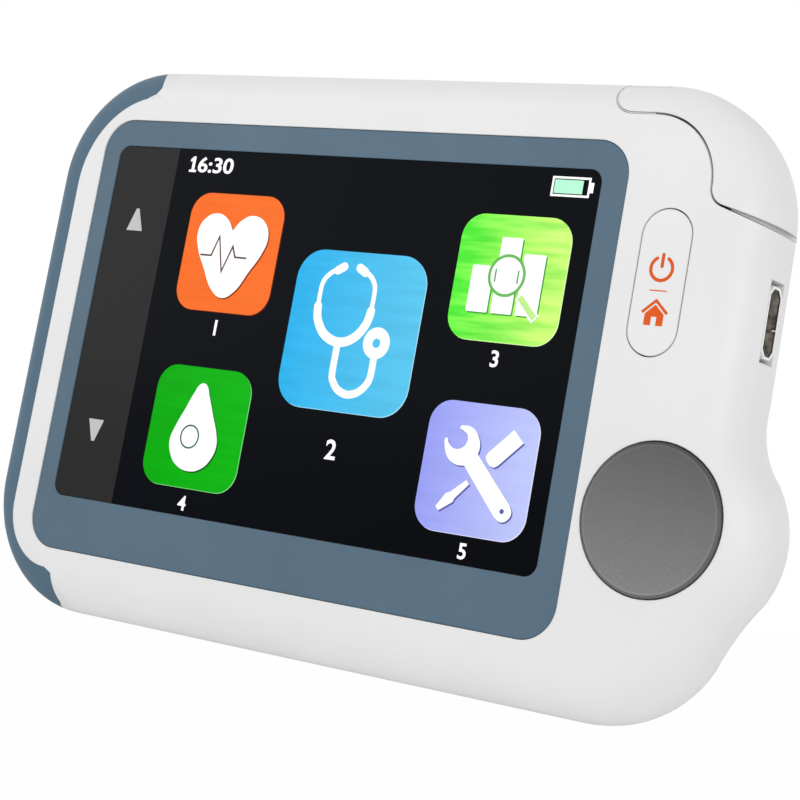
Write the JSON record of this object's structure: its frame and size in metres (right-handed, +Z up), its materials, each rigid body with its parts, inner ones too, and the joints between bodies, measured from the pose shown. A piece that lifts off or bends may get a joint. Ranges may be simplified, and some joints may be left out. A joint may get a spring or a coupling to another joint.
{
  "type": "ecg home monitor",
  "caption": "Palm-sized heart monitor: flat rounded body with a colour touch screen, round thumb electrode, pill-shaped key, sprung finger flap at one corner and a side socket.",
  "frame": {"origin": "middle of the body's lower edge, on the plane it stands on", "axes": "+X along the body's width towards the thumb grip, +Y from the screen to the back, +Z up"},
  "size_m": [0.0864, 0.0132, 0.0566],
  "materials": {
    "shell_white": "satin moulded",
    "flap_white": "satin moulded",
    "key_white": "satin moulded",
    "band_blue_grey": "satin painted",
    "electrode_grey": "satin conductive coat",
    "screen_glass": "polished",
    "lcd_frame": "satin",
    "ribbon_amber": "gloss film",
    "board_green": "solder mask",
    "black_plastic": "matte",
    "ivory_plastic": "matte",
    "battery_foil": "satin foil",
    "steel": "plain",
    "gold_contact": "plated",
    "bracket_grey": "matte",
    "pad_rubber": "matte",
    "sensor_red": "polished"
  },
  "bodies": {
    "housing": {"front_shell": "shell_white", "back_shell": "shell_white", "left_end_band": "band_blue_grey", "left_electrode": "electrode_grey", "screen_bezel": "band_blue_grey", "touch_glass": "screen_glass", "lcd_module": "lcd_frame", "display_ribbon": "ribbon_amber", "main_board": "board_green", "board_chips": "black_plastic", "battery": "battery_foil", "battery_plug": "ivory_plastic", "speaker": "black_plastic", "case_screws": "steel", "power_switch": "steel", "thumb_electrode": "electrode_grey", "thumb_electrode_spring": "gold_contact", "back_electrode": "electrode_grey", "back_electrode_spring": "gold_contact", "connector_shell": "steel", "connector_tongue": "black_plastic", "connector_contacts": "gold_contact", "flap_hinge_pin": "steel", "flap_spring": "steel", "finger_bracket": "bracket_grey", "finger_seat_pad": "pad_rubber", "sensor_window": "sensor_red"},
    "flap": {"flap_shell": "flap_white", "flap_pad": "pad_rubber", "flap_light_window": "sensor_red"},
    "key": {"power_button": "key_white"},
    "plunger": {"switch_plunger": "black_plastic"}
  },
  "joints": [
    {"name": "flap_hinge", "type": "hinge", "parent": "housing", "child": "flap", "pos_m": [0.02515, -0.001, 0.0554], "axis": [0, -1, 0], "range_deg": [0, 35], "stiffness_Nm_per_rad": 0.02, "springref_deg": -20.05, "deforming": ["flap_spring"]},
    {"name": "key_press", "type": "slide", "parent": "housing", "child": "key", "axis": [0, 1, 0], "range_m": [0, 0.0004], "stiffness_N_per_m": 400, "springref_m": -0.0005},
    {"name": "plunger_press", "type": "slide", "parent": "housing", "child": "plunger", "axis": [0, 1, 0], "range_m": [0, 0.0004]}
  ],
  "couplings": [
    {"joint": "plunger_press", "follows": "key_press", "ratio": 1}
  ]
}
